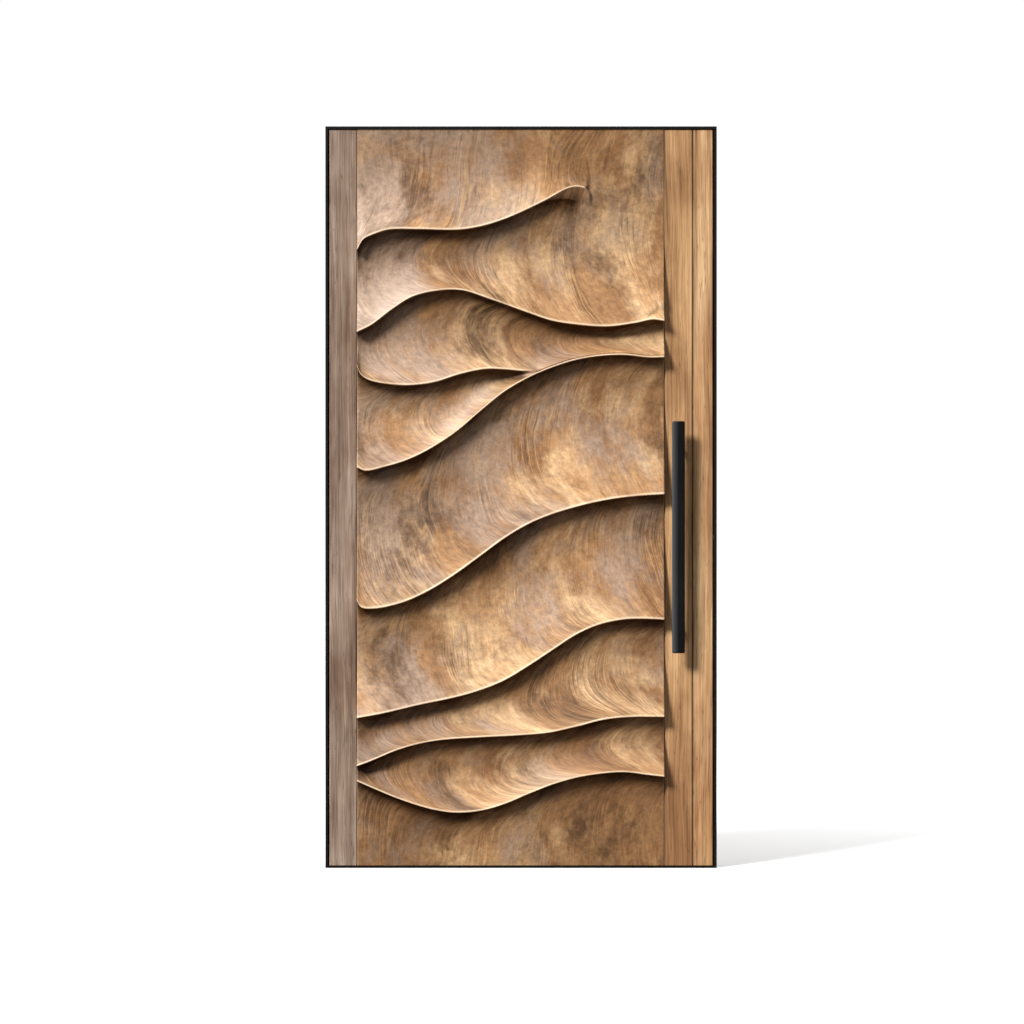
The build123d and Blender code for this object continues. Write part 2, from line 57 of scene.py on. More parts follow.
# Carved panel
CREST_PROUD = 0.045
LIP_HEIGHT = 0.003
LIP_ROUNDING = 0.0012
SIDE_ROUNDING = 0.0015
STEP_SLOPE = 0.003
SCOOP_FADE_HEIGHT = 0.080
SCOOP_POWER = 2.0
ROOT_HOLLOW = 0.024
ROOT_HOLLOW_HEIGHT = 0.110
ROOT_POWER = 2.5
MERGE_GAP = 0.007

# Fineness of the carved mesh
COLUMN_PITCH = 0.0038
TIP_COLUMNS = 42
TIP_PITCH = 0.001
SCOOP_ROWS = 24
STEP_SHARES = (0.08, 0.20, 0.40, 0.65, 0.88)

# Right end of the top crest, which runs out in a round nose with a crease and a dent above it
TIP_START = 0.060
TIP_NOSE = 0.225
TIP_END = 0.238
TIP_PROUD = 0.020
TIP_SLOPE = 0.056
TIP_ROUND = 0.031
TIP_SHARPENING = 7.0
TIP_SHADE_START = TIP_NOSE - 0.070
TIP_SHADE_FADE = 0.066
TIP_HOLLOW_START = TIP_NOSE - 0.080
TIP_HOLLOW_FADE = 0.060
CREASE_LEAN = 1.3
CREASE_WIDTH = 0.005
CREASE_HEIGHT = 0.060
CREASE_FADE = 0.080
TIP_DENT = 0.009
DENT_WIDTH = 0.080
DENT_HEIGHT = 0.050
DENT_FADE = 0.110

# Right end of the second crest, which forks into two lips
FORK_START = 0.392
FORK_REACH = 0.085
FORK_RISE = 0.050
FORK_DEPTH = 0.008
FORK_LIP = 0.006

# Grain on the carved panel, its pale lips (partly wear, partly a painted highlight) and the painted shade
# below its crests
UPPER_SWING = 0.065
LOWER_SWING = 0.055
TIP_SWING = -0.070
OPEN_SWING = 0.045
FULL_MARK_DEPTH = 0.016
GLOW_START = 0.985
NEAR_PAINTED_SHADE = 0.060
WIDE_PAINTED_SHADE = 0.200

# Wood tones, dark to light, as screen values
CORE_TONES = [(118, 90, 62), (166, 134, 98), (192, 160, 122), (216, 186, 148)]
FRONT_TONES = [(126, 92, 60), (182, 140, 96), (208, 166, 120), (228, 188, 140)]
BACK_TONES = [(92, 64, 42), (138, 102, 70), (166, 130, 92), (194, 158, 118)]
# The left board's greyer tones are a painted cool shade.
SHADE_GREY_TONES = [(88, 72, 60), (142, 122, 107), (174, 154, 139), (202, 184, 168)]
GOLDEN_TONES = [(120, 88, 58), (186, 146, 104), (216, 176, 132), (240, 202, 158)]

# Crest lines of the carving, left to right, drawn on a panel of this size: x from its left edge
# and height from its foot of each chosen point, in millimetres.
DRAWN_WIDTH = 1013
DRAWN_HEIGHT = 2431
CREST_LINES = {
    "a": [(1, 2034), (19, 2065), (49, 2082), (108, 2100), (207, 2101), (326, 2099), (406, 2110),
          (485, 2134), (564, 2168), (630, 2201), (690, 2234), (729, 2242), (781, 2230), (881, 2212),
          (1013, 2202)],
    "b": [(1, 1763), (49, 1787), (115, 1837), (181, 1878), (260, 1898), (346, 1900), (439, 1871),
          (551, 1831), (643, 1800), (736, 1786), (828, 1781), (921, 1793), (974, 1804), (1013, 1799)],
    "c": [(1, 1650), (12, 1624), (42, 1604), (108, 1591), (181, 1588), (260, 1599), (339, 1624),
          (422, 1641), (485, 1640), (541, 1635), (591, 1633)],
    "d": [(1, 1317), (29, 1306), (88, 1318), (168, 1343), (247, 1382), (326, 1434), (406, 1502),
          (485, 1566), (564, 1612), (643, 1646), (723, 1671), (802, 1684), (881, 1687), (961, 1679),
          (1013, 1680)],
    "e": [(1, 877), (12, 858), (42, 852), (95, 858), (168, 879), (247, 917), (326, 967), (406, 1025),
          (485, 1083), (564, 1130), (643, 1163), (736, 1191), (828, 1211), (921, 1223), (1013, 1229)],
    "f": [(1, 492), (88, 508), (207, 536), (326, 561), (406, 584), (485, 616), (564, 663), (643, 715),
          (723, 767), (802, 801), (881, 817), (947, 819), (1013, 816)],
    "g": [(1, 334), (49, 352), (128, 385), (207, 408), (287, 421), (406, 429), (524, 435), (630, 444),
          (723, 464), (815, 487), (908, 496), (1013, 496)],
    "h": [(1, 284), (49, 263), (128, 230), (207, 203), (267, 188), (326, 181), (406, 187), (485, 209),
          (564, 242), (643, 273), (723, 296), (802, 309), (881, 314), (961, 305), (1013, 299)],
}
TIP_LINE = "a"
FORKED_LINE = "b"
MERGING_LINE = "c"
MERGED_INTO = "d"


def crest_height(line, x):
    """The height of a crest line at x, on a smooth curve through its chosen points, in millimetres."""
    last = len(line) - 1
    slopes = []
    for i in range(len(line)):
        x_before, z_before = line[max(i - 1, 0)]
        x_after, z_after = line[min(i + 1, last)]
        slopes.append((z_after - z_before) / (x_after - x_before))
    if x <= line[0][0]:
        return line[0][1] + slopes[0] * (x - line[0][0])
    if x >= line[last][0]:
        return line[last][1] + slopes[last] * (x - line[last][0])
    i = max(k for k in range(last) if line[k][0] <= x)
    (x0, z0), (x1, z1) = line[i], line[i + 1]
    span = x1 - x0
    t = (x - x0) / span
    rise = z1 - z0
    bend = (slopes[i] * span - rise) * (1 - t) + (rise - slopes[i + 1] * span) * t
    return z0 + rise * t + bend * t * (1 - t)


def ease(t):
    """A smooth step from 0 to 1."""
    t = min(max(t, 0.0), 1.0)
    return t * t * (3 - 2 * t)


def crest_heights(x, low, high):
    """The heights of all crests at x, with the merging one kept just above the next."""
    drawn_x = (x - low.x) / (high.x - low.x) * DRAWN_WIDTH
    stretch = (high.z - low.z) / DRAWN_HEIGHT
    heights = {name: low.z + crest_height(line, drawn_x) * stretch for name, line in CREST_LINES.items()}
    heights[MERGING_LINE] = max(heights[MERGING_LINE], heights[MERGED_INTO] + MERGE_GAP)
    return heights


def tip_fade(x):
    """0 where the top crest is like the others, 1 at its nose and beyond."""
    return ease((x - TIP_START) / (TIP_NOSE - TIP_START))


def crease(above_crest):
    """The x of the crease that runs up from the nose, leaning to the left."""
    return TIP_NOSE + 0.003 - CREASE_LEAN * max(above_crest, 0.0) ** 2


def tip_end(x, below_crest):
    """1 on the top crest, falling to 0 along its nose's round outline and the crease above."""
    width = TIP_END - TIP_NOSE
    from_middle = (max(below_crest, 0.0) - TIP_SLOPE / 2) / TIP_ROUND
    start = TIP_NOSE - TIP_ROUND * (1 - math.sqrt(max(1 - from_middle ** 2, 0.0)))
    if below_crest < 0:
        start = min(start - below_crest, crease(-below_crest) - width)
    return 1 - ease((x - start) / width)


def tip_dent(x, above_crest):
    """The drop-shaped hollow above the top crest's nose, with a crisp right side."""
    fade_up = 1 - ease((above_crest - DENT_HEIGHT) / DENT_FADE)
    from_crease = x - crease(above_crest)
    fade_left = ease((from_crease + DENT_WIDTH + 0.005) / DENT_WIDTH)
    side = 1 - ease(from_crease / 0.003)
    return TIP_DENT * fade_up * fade_left * side * ease(above_crest / 0.025)


def crease_painted_shade(x, above_crest):
    """How dark the painted shade along the crease is: a thin line that fades upwards."""
    fade_up = (1 - ease((above_crest - CREASE_HEIGHT) / CREASE_FADE)) * ease((above_crest + 0.02) / 0.01)
    return 0.75 * fade_up * max(1 - abs(x - crease(above_crest)) / CREASE_WIDTH, 0.0)


def fork_rise(x):
    """How high the upper lip of the second crest's forked right end stands above the lower one."""
    return FORK_RISE * ease((x - FORK_START) / FORK_REACH)


def end_fork(x, above_crest):
    """How far back the face lies between the two lips of the fork."""
    rise = fork_rise(x)
    inside = 1 - ease((above_crest - rise + 0.004) / 0.004)
    return FORK_DEPTH * inside * ease(above_crest / 0.012) * ease((rise - FORK_LIP) / 0.010)


def fork_lip(x, above_crest):
    """1 along the upper lip of the fork, 0 away from it."""
    rise = fork_rise(x)
    return max(1 - abs(above_crest - rise) / FORK_LIP, 0.0) * ease((rise - FORK_LIP) / 0.010)


def grain_swing(share, upper, lower):
    """How far the grain swings to the right at a place in a scoop, in metres."""
    return upper * (1 - share) ** 4 + lower * share ** 5


def scoop_rows(root, crest, power, hollow):
    """The points of one scoop, from its root down to its crest, each as (proud, z, share of the way)."""
    rows = []
    height = root[1] - crest[1]
    hollow_height = min(ROOT_HOLLOW_HEIGHT, height / 2)
    for step in range(SCOOP_ROWS):
        even = step / SCOOP_ROWS
        share = even - 0.12 * math.sin(2 * math.pi * even)
        rest = max(1 - share * height / hollow_height, 0.0)
        proud = root[0] + (crest[0] - root[0]) * share ** power + hollow * rest ** ROOT_POWER
        rows.append((proud, root[1] - share * height, share))
    return rows


def lip_rows(proud, height, mark_strength, swing):
    """The rounded lip of a crest, from its upper edge down, as (proud, z, wear and painted highlight, painted
    shade, swing).
    """
    lip_end = height - LIP_HEIGHT
    return [(proud - LIP_ROUNDING, height + LIP_ROUNDING, mark_strength, 0.0, swing),
            (proud - 0.3 * LIP_ROUNDING, height + 0.3 * LIP_ROUNDING, mark_strength, 0.0, swing),
            (proud, height - 0.4 * LIP_ROUNDING, mark_strength, 0.0, swing),
            (proud, lip_end + 0.5 * LIP_ROUNDING, mark_strength, 0.0, swing),
            (proud - 0.6 * LIP_ROUNDING, lip_end - 0.2 * LIP_ROUNDING, 0.4 * mark_strength, 0.2 * mark_strength, swing)]


def step_rows(top, foot, step_painted_shade, swing):
    """The face under a lip, down to the root of the next scoop, as (proud, z, wear and painted highlight,
    painted shade, swing).
    """
    rows = []
    for share in STEP_SHARES:
        stands = top[0] + (foot[0] - top[0]) * share
        z = top[1] + (foot[1] - top[1]) * share
        rows.append((stands, z, 0.0, step_painted_shade * (0.4 + share * 0.6), swing))
    return rows


def shape_tip(piece, x, height):
    """The top crest's rows, ended by its nose and hollowed by the dent above it."""
    return [(stands * tip_end(x, height - z) - tip_dent(x, z - height), z, *rest)
            for stands, z, *rest in piece]


def dusk_below(distance, shaded):
    """How dark the painted shade is below a crest: deepest right under it, then slowly less."""
    near = max(1 - distance / NEAR_PAINTED_SHADE, 0.0) ** 1.2
    wide = max(1 - distance / WIDE_PAINTED_SHADE, 0.0) ** 1.5
    return shaded * (0.45 * near + 0.55 * wide)


def section_rows(x, low, high):
    """One upright section through the carving, as (proud, z, wear and painted highlight, painted shade, swing
    of the grain).
    """
    heights = crest_heights(x, low, high)
    next_heights = list(heights.values())[1:] + [low.z]
    rows = []
    root = (0.0, high.z)
    hollow, shaded, upper = 0.0, 0.0, 0.0
    for (name, height), next_height in zip(heights.items(), next_heights):
        fade = tip_fade(x) if name == TIP_LINE else 0.0
        proud = CREST_PROUD + (TIP_PROUD - CREST_PROUD) * fade
        slope = STEP_SLOPE + (TIP_SLOPE - STEP_SLOPE) * fade
        power = SCOOP_POWER + TIP_SHARPENING * fade
        lower = TIP_SWING * (1 - fade) if name == TIP_LINE else LOWER_SWING
        lip_end = height - LIP_HEIGHT
        room = lip_end - next_height
        depth = min(CREST_PROUD * ease(room / SCOOP_FADE_HEIGHT), proud)
        step_end = lip_end - min(slope, room / 4)
        # The lip's pale mark is partly wear and partly a painted highlight, and the step and scoop below it
        # carry painted shade; both grow with the step's depth.
        mark_strength = ease(depth / FULL_MARK_DEPTH)
        step_painted_shade = mark_strength * (1 - 0.80 * fade)
        if name == TIP_LINE:
            mark_strength *= tip_end(x, 0.0)
        edge = (proud - LIP_ROUNDING, height + LIP_ROUNDING)
        piece = []
        for stands, z, share in scoop_rows(root, edge, power, hollow):
            # A painted highlight on the scoop just above the lip.
            glow = ease((share - GLOW_START) / (1 - GLOW_START)) * 0.3 * mark_strength
            dusk = dusk_below(root[1] - z, shaded)
            swing = grain_swing(share, upper, lower)
            if name in (TIP_LINE, FORKED_LINE):
                whole = (high.z - z) / (high.z - heights[FORKED_LINE])
                swing += (grain_swing(whole, OPEN_SWING, LOWER_SWING) - swing) * tip_fade(x)
            if name == TIP_LINE:
                # Painted shade along the crease above the nose.
                dusk = max(dusk, crease_painted_shade(x, z - height))
            if name == FORKED_LINE:
                stands -= end_fork(x, z - height)
                # The fork's upper lip gets a painted highlight.
                glow = max(glow, 0.7 * fork_lip(x, z - height))
            piece.append((stands, z, glow, dusk, swing))
        piece += lip_rows(proud, height, mark_strength, lower)
        shaded = mark_strength
        hollow = ROOT_HOLLOW * depth / CREST_PROUD
        if name == TIP_LINE:
            shaded *= 1 - ease((x - TIP_SHADE_START) / TIP_SHADE_FADE)
            hollow *= 1 - ease((x - TIP_HOLLOW_START) / TIP_HOLLOW_FADE)
        upper = UPPER_SWING * (1 - fade)
        root = (proud - depth, step_end)
        piece += step_rows((edge[0], lip_end), (root[0] + hollow, step_end), step_painted_shade, upper)
        if name == TIP_LINE:
            piece = shape_tip(piece, x, height)
        rows += piece
    for stands, z, share in scoop_rows(root, (0.0, low.z), SCOOP_POWER, hollow):
        rows.append((stands, z, 0.0, dusk_below(root[1] - z, shaded), grain_swing(share, upper, 0.0)))
    rows.append((0.0, low.z, 0.0, 0.0, 0.0))
    return rows


def panel_columns(left, right):
    """The x of each column of the carved mesh, closer together where the top crest's tip ends."""
    count = round((right - left) / COLUMN_PITCH)
    columns = [left + (right - left) * i / count for i in range(count + 1)]
    columns += [TIP_NOSE - TIP_ROUND + TIP_PITCH * i for i in range(TIP_COLUMNS)]
    columns += [left + SIDE_ROUNDING, right - SIDE_ROUNDING]
    return sorted(set(columns))


def relief_points(columns, low, high):
    """The points of the carved face, column by column, as (x, y, z, wear and painted highlight, painted
    shade, swing).
    """
    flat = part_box("left_stile_board")[0].y
    points = []
    for x in columns:
        from_side = min(x - columns[0], columns[-1] - x)
        inset = max(SIDE_ROUNDING - from_side, 0.0)
        for proud, z, wear_and_highlight, shade, swing in section_rows(x, low, high):
            # The side rims are worn paler; the lips' values are partly wear and partly a painted highlight.
            rim_wear_and_highlight = max(wear_and_highlight, inset / SIDE_ROUNDING * 0.8)
            points.append((x, flat - proud + inset, z, rim_wear_and_highlight, shade, swing))
    return points


def add_side(points, faces, rim, back, turned):
    """Adds a flat side that runs from one rim of the carved face straight to the back."""
    start = len(points)
    count = len(rim)
    places = [points[k][:3] for k in rim]
    points += [(x, y, z, 0.0, 0.0, 0.0) for x, y, z in places]
    points += [(x, back, z, 0.0, 0.0, 0.0) for x, y, z in places]
    for k in range(start, start + count - 1):
        quad = (k, k + 1, count + k + 1, count + k)
        faces.append(quad[::-1] if turned else quad)


def add_back(points, faces, left, right, low, high):
    """Adds the plain back as one face."""
    start = len(points)
    for x, z in ((left, low.z), (left, high.z), (right, high.z), (right, low.z)):
        points.append((x, high.y, z, 0.0, 0.0, 0.0))
    faces.append((start, start + 1, start + 2, start + 3))


def carved_panel():
    """The wave relief as a fine mesh, with its sides and back closed."""
    low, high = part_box("carved_panel")
    columns = panel_columns(low.x, high.x)
    points = relief_points(columns, low, high)
    wide = len(columns)
    tall = len(points) // wide
    faces = []
    for i in range(wide - 1):
        for j in range(tall - 1):
            a = i * tall + j
            faces.append((a, a + 1, a + tall + 1, a + tall))
    smooth_count = len(faces)
    add_side(points, faces, range(tall), high.y, True)
    add_side(points, faces, range((wide - 1) * tall, wide * tall), high.y, False)
    add_side(points, faces, range(0, wide * tall, tall), high.y, False)
    add_side(points, faces, range(tall - 1, wide * tall, tall), high.y, True)
    add_back(points, faces, columns[0], columns[-1], low, high)
    mesh = bpy.data.meshes.new("carved_wave_relief")
    mesh.from_pydata([point[:3] for point in points], [], faces)
    for polygon in mesh.polygons:
        polygon.use_smooth = polygon.index < smooth_count
    # The lips' wear and painted highlight, and the painted shade, go on the mesh as attributes.
    for place, name in enumerate(("wear_and_highlight", "shade", "swing"), start=3):
        attribute = mesh.attributes.new(name, "FLOAT", "POINT")
        attribute.data.foreach_set("value", [point[place] for point in points])
    panel = bpy.data.objects.new("carved_wave_relief", mesh)
    bpy.context.scene.collection.objects.link(panel)
    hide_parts("carved_panel")
    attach(panel, "leaf")
    return panel


class Graph:
    """A material's nodes, with short calls for the few kinds that are used here."""

    def __init__(self, name):
        self.material = bpy.data.materials.new(name)
        self.material.use_nodes = True
        self.tree = self.material.node_tree
        self.shader = self.tree.nodes["Principled BSDF"]

    def node(self, kind, **settings):
        made = self.tree.nodes.new(kind)
        for name, value in settings.items():
            setattr(made, name, value)
        return made

    def put(self, socket, value):
        """Gives a socket a constant or joins it to another node's output."""
        if isinstance(value, bpy.types.NodeSocket):
            self.tree.links.new(value, socket)
        else:
            socket.default_value = value

    def place(self):
        return self.node("ShaderNodeTexCoord").outputs["Object"]

    def axes(self):
        parts = self.node("ShaderNodeSeparateXYZ")
        self.put(parts.inputs[0], self.place())
        return parts.outputs

    def point(self, x, y, z):
        made = self.node("ShaderNodeCombineXYZ")
        for socket, value in zip(made.inputs, (x, y, z)):
            self.put(socket, value)
        return made.outputs[0]

    def math(self, operation, a, b=0.0, c=0.0):
        made = self.node("ShaderNodeMath", operation=operation)
        for socket, value in zip(made.inputs, (a, b, c)):
            self.put(socket, value)
        return made.outputs[0]

    def noise(self, place, scale, detail, roughness=0.5):
        made = self.node("ShaderNodeTexNoise")
        self.put(made.inputs["Vector"], place)
        self.put(made.inputs["Scale"], scale)
        self.put(made.inputs["Detail"], detail)
        self.put(made.inputs["Roughness"], roughness)
        return made.outputs["Fac"]

    def ramp(self, value, stops):
        """Colours along a value, as (place, colour)."""
        made = self.node("ShaderNodeValToRGB")
        self.put(made.inputs[0], value)
        elements = made.color_ramp.elements
        while len(elements) < len(stops):
            elements.new(1.0)
        for element, (place, colour) in zip(elements, stops):
            element.position = place
            element.color = (*colour, 1.0)
        return made.outputs[0]

    def grey_ramp(self, value, stops):
        return self.ramp(value, [(place, (grey, grey, grey)) for place, grey in stops])

    def mix(self, share, a, b, blend="MIX"):
        made = self.node("ShaderNodeMix", data_type="RGBA", blend_type=blend)
        self.put(made.inputs["Factor"], share)
        for socket, value in ((made.inputs[6], a), (made.inputs[7], b)):
            self.put(socket, (*value, 1.0) if isinstance(value, tuple) else value)
        return made.outputs[2]

    def attribute(self, name):
        return self.node("ShaderNodeAttribute", attribute_name=name).outputs["Fac"]

    def bump(self, height, strength, distance):
        made = self.node("ShaderNodeBump")
        self.put(made.inputs["Height"], height)
        self.put(made.inputs["Strength"], strength)
        self.put(made.inputs["Distance"], distance)
        self.put(self.shader.inputs["Normal"], made.outputs[0])

    def finish(self, colour, roughness, metallic=0.0, specular=0.5):
        self.put(self.shader.inputs["Base Color"], colour)
        self.put(self.shader.inputs["Roughness"], roughness)
        self.put(self.shader.inputs["Metallic"], metallic)
        self.put(self.shader.inputs["Specular IOR Level"], specular)
        return self.material


def linear(red, green, blue):
    """A colour written as 0 to 255 screen values, as light."""
    shares = [value / 255 for value in (red, green, blue)]
    return tuple(s / 12.92 if s <= 0.04045 else ((s + 0.055) / 1.055) ** 2.4 for s in shares)


def grain(graph, across, along, seed):
    """Wood streaks from 0 to 1: broad bands, fine lines and fibres that run along the second value."""
    stretched = graph.math("MULTIPLY", along, 0.045)
    place = graph.point(across, stretched, seed)
    broad = graph.noise(place, 26.0, 3.0, 0.6)
    fine_place = graph.point(across, graph.math("MULTIPLY", along, 0.03), seed + 5.0)
    fine = graph.noise(fine_place, 190.0, 4.0, 0.6)
    fibre_place = graph.point(across, graph.math("MULTIPLY", along, 0.02), seed + 9.0)
    fibres = graph.noise(fibre_place, 620.0, 2.0, 0.6)
    streaks = graph.math("MULTIPLY_ADD", fine, 0.38, graph.math("MULTIPLY", broad, 0.46))
    return graph.math("MULTIPLY_ADD", fibres, 0.16, streaks)


def thin_lines(graph, value, level, width):
    """1 on the thin lines where a value passes a level, fading to 0 beside them."""
    away = graph.math("ABSOLUTE", graph.math("SUBTRACT", value, level))
    return graph.grey_ramp(away, [(0.0, 1.0), (width, 0.0)])


def strokes(graph, colour, across, along, seed, strength):
    """Short crisp fibres, some darker and some paler than the wood round them."""
    place = graph.point(across, graph.math("MULTIPLY", along, 0.07), seed)
    fibres = graph.noise(place, 120.0, 3.0, 0.6)
    dark = graph.math("MULTIPLY", graph.grey_ramp(fibres, [(0.56, 0.0), (0.64, 1.0)]), strength)
    pale = graph.math("MULTIPLY", graph.grey_ramp(fibres, [(0.36, 1.0), (0.43, 0.0)]), strength)
    colour = graph.mix(dark, colour, graph.mix(1.0, colour, (0.42, 0.38, 0.34), "MULTIPLY"))
    return graph.mix(pale, colour, graph.mix(1.0, colour, (1.45, 1.42, 1.36), "MULTIPLY"))


def ring_lines(graph, across, z, seed, level, width):
    """Thin nested lines that run along the grain, as on wood cut across its rings."""
    rings = graph.noise(graph.point(across, graph.math("MULTIPLY", z, 0.05), seed), 13.0, 1.0, 0.4)
    return thin_lines(graph, graph.math("FRACT", graph.math("MULTIPLY", rings, 15.0)), level, width)


def flow_across(g):
    """The place across the grain, which swings where the carving turns it."""
    x, y, z = g.axes()
    wide = g.math("SUBTRACT", g.noise(g.place(), 1.7, 2.0, 0.5), 0.5)
    near = g.math("SUBTRACT", g.noise(g.place(), 12.0, 3.0, 0.6), 0.5)
    varied = g.noise(g.point(x, y, g.math("ADD", z, 5.0)), 1.6, 1.0, 0.5)
    swing = g.math("MULTIPLY", g.attribute("swing"), g.math("MULTIPLY_ADD", varied, 4.0, -1.0))
    across = g.math("SUBTRACT", g.math("ADD", x, y), swing)
    across = g.math("MULTIPLY_ADD", wide, 0.15, across)
    return g.math("MULTIPLY_ADD", near, 0.012, across)


def wood_clouds(g, across):
    """Soft clouds of gold, cream, grey and smoke, greyer to the left and upwards as a painted cool shade."""
    x, y, z = g.axes()
    tall = g.math("MULTIPLY", z, 0.60)
    base = g.noise(g.point(across, tall, 0.0), 7.0, 6.0, 0.66)
    cream = g.noise(g.point(across, tall, 7.0), 4.5, 6.0, 0.68)
    grey = g.noise(g.point(across, tall, 13.0), 3.8, 6.0, 0.66)
    # Painted cool shade: the grey clouds spread further to the left and upwards.
    greyer = g.math("MULTIPLY_ADD", x, -0.08, g.math("MULTIPLY_ADD", z, 0.035, grey))
    smoke = g.noise(g.point(across, tall, 19.0), 5.5, 6.0, 0.70)
    slow = g.noise(g.point(across, tall, 51.0), 2.6, 3.0, 0.5)
    mottle = g.noise(g.point(across, g.math("MULTIPLY", z, 0.8), 37.0), 64.0, 5.0, 0.70)
    colour = g.mix(g.grey_ramp(base, [(0.38, 0.0), (0.62, 1.0)]), linear(158, 117, 79), linear(200, 158, 115))
    colour = g.mix(g.grey_ramp(cream, [(0.49, 0.0), (0.64, 0.9)]), colour, linear(240, 205, 162))
    colour = g.mix(g.grey_ramp(greyer, [(0.51, 0.0), (0.64, 0.85)]), colour, linear(186, 164, 149))
    colour = g.mix(g.grey_ramp(smoke, [(0.53, 0.0), (0.67, 0.8)]), colour, linear(98, 68, 42))
    slow_tone = g.ramp(slow, [(0.36, (0.82, 0.79, 0.76)), (0.64, (1.15, 1.15, 1.14))])
    mottle_tone = g.ramp(mottle, [(0.34, (0.74, 0.72, 0.70)), (0.66, (1.22, 1.20, 1.18))])
    colour = g.mix(1.0, colour, slow_tone, "MULTIPLY")
    return g.mix(1.0, colour, mottle_tone, "MULTIPLY")


def clustered_grain(g, colour, across, streaks):
    """Streaks, fibres and ring lines that gather in clusters, over a colour."""
    z = g.axes()[2]
    gathered = g.point(g.math("MULTIPLY", across, 1.8), g.math("MULTIPLY", z, 0.60), 29.0)
    clusters = g.grey_ramp(g.noise(gathered, 4.0, 3.0, 0.6), [(0.47, 0.05), (0.62, 1.0)])
    tone = g.ramp(streaks, [(0.38, (0.52, 0.48, 0.44)), (0.46, (0.84, 0.82, 0.80)),
                            (0.53, (1.0, 1.0, 1.0)), (0.62, (1.22, 1.20, 1.17))])
    streaked = g.mix(1.0, colour, tone, "MULTIPLY")
    colour = g.mix(g.math("MULTIPLY_ADD", clusters, 0.75, 0.25), colour, streaked)
    colour = strokes(g, colour, across, z, 61.0, g.math("MULTIPLY_ADD", clusters, 0.40, 0.15))
    dark_lines = g.math("MULTIPLY", ring_lines(g, across, z, 23.0, 0.62, 0.11), clusters)
    pale_lines = g.math("MULTIPLY", ring_lines(g, across, z, 23.0, 0.30, 0.10), clusters)
    colour = g.mix(g.math("MULTIPLY", dark_lines, 0.48), colour, linear(84, 56, 34))
    return g.mix(g.math("MULTIPLY", pale_lines, 0.40), colour, linear(240, 198, 142))


def carved_wood():
    """Oiled old wood: clouds and clusters of grain, painted shade in the hollows, and pale crests that are
    partly wear and partly a painted highlight.
    """
    g = Graph("carved_wood_oiled")
    x, y, z = g.axes()
    across = flow_across(g)
    streaks = grain(g, across, g.math("MULTIPLY", z, 2.4), 3.0)
    colour = clustered_grain(g, wood_clouds(g, across), across, streaks)
    stands = g.math("SUBTRACT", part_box("left_stile_board")[0].y, y)
    height_tone = g.ramp(g.math("DIVIDE", stands, CREST_PROUD),
                         [(0.0, (0.62, 0.58, 0.52)), (0.35, (0.90, 0.88, 0.86)), (1.0, (1.12, 1.12, 1.12))])
    colour = g.mix(1.0, colour, height_tone, "MULTIPLY")
    # Painted shade: the shade attribute darkens the hollows under the crests and along the crease towards
    # near black.
    patchy = g.noise(g.place(), 9.0, 4.0, 0.62)
    darkening = g.math("MULTIPLY", g.attribute("shade"), g.math("MULTIPLY_ADD", patchy, 1.2, 0.45))
    colour = g.mix(darkening, colour, g.mix(1.0, colour, (0.150, 0.105, 0.070), "MULTIPLY"))
    # The lips go pale: partly wear, partly a painted highlight.
    pale_highlight = g.math("MULTIPLY", g.attribute("wear_and_highlight"), g.math("MULTIPLY_ADD", patchy, 1.6, -0.15))
    colour = g.mix(pale_highlight, colour, linear(244, 220, 190))
    g.bump(streaks, 0.30, 0.0010)
    sheen = g.math("MULTIPLY_ADD", g.attribute("shade"), -0.40, 0.40)
    return g.finish(colour, g.grey_ramp(streaks, [(0.3, 0.52), (0.7, 0.38)]), specular=sheen)


def board_wood(name, seed, tones, darkening, joints=()):
    """A straight-grained board: streaks run up it, with slow bends, a few darker clouds and dark joints,
    which are partly dirt and partly painted shade.
    """
    g = Graph(name)
    x, y, z = g.axes()
    wander = g.math("SUBTRACT", g.noise(g.point(x, y, g.math("MULTIPLY", z, 0.35)), 3.0, 2.0, 0.55), 0.5)
    across = g.math("ADD", g.math("MULTIPLY_ADD", wander, 0.05, x), g.math("MULTIPLY", y, 0.8))
    streaks = grain(g, across, g.math("MULTIPLY", z, 0.6), seed)
    stops = (0.35, 0.45, 0.54, 0.65)
    colour = g.ramp(streaks, [(place, linear(*tone)) for place, tone in zip(stops, tones)])
    pores = g.noise(g.point(across, g.math("MULTIPLY", z, 0.03), seed + 13.0), 90.0, 2.0, 0.5)
    colour = g.mix(g.math("MULTIPLY", thin_lines(g, pores, 0.44, 0.016), 0.65), colour, linear(*tones[0]))
    colour = strokes(g, colour, across, g.math("MULTIPLY", z, 0.35), seed + 17.0, 0.40)
    clouds = g.noise(g.point(x, y, g.math("MULTIPLY", z, 0.5)), 3.2, 4.0, 0.6)
    colour = g.mix(g.grey_ramp(clouds, [(0.42, 0.0), (0.62, 0.85)]), colour,
                   g.mix(1.0, colour, linear(*darkening), "MULTIPLY"))
    # Dark joints: partly dirt, partly painted shade in the gaps between parts.
    for joint in joints:
        away = g.math("ABSOLUTE", g.math("SUBTRACT", x, joint))
        joint_dirt_and_shade = g.grey_ramp(away, [(0.0, 0.92), (0.0018, 0.75), (0.0045, 0.0)])
        colour = g.mix(joint_dirt_and_shade, colour, linear(34, 24, 16))
    g.bump(streaks, 0.25, 0.0010)
    return g.finish(colour, g.grey_ramp(streaks, [(0.3, 0.60), (0.7, 0.46)]), specular=0.35)


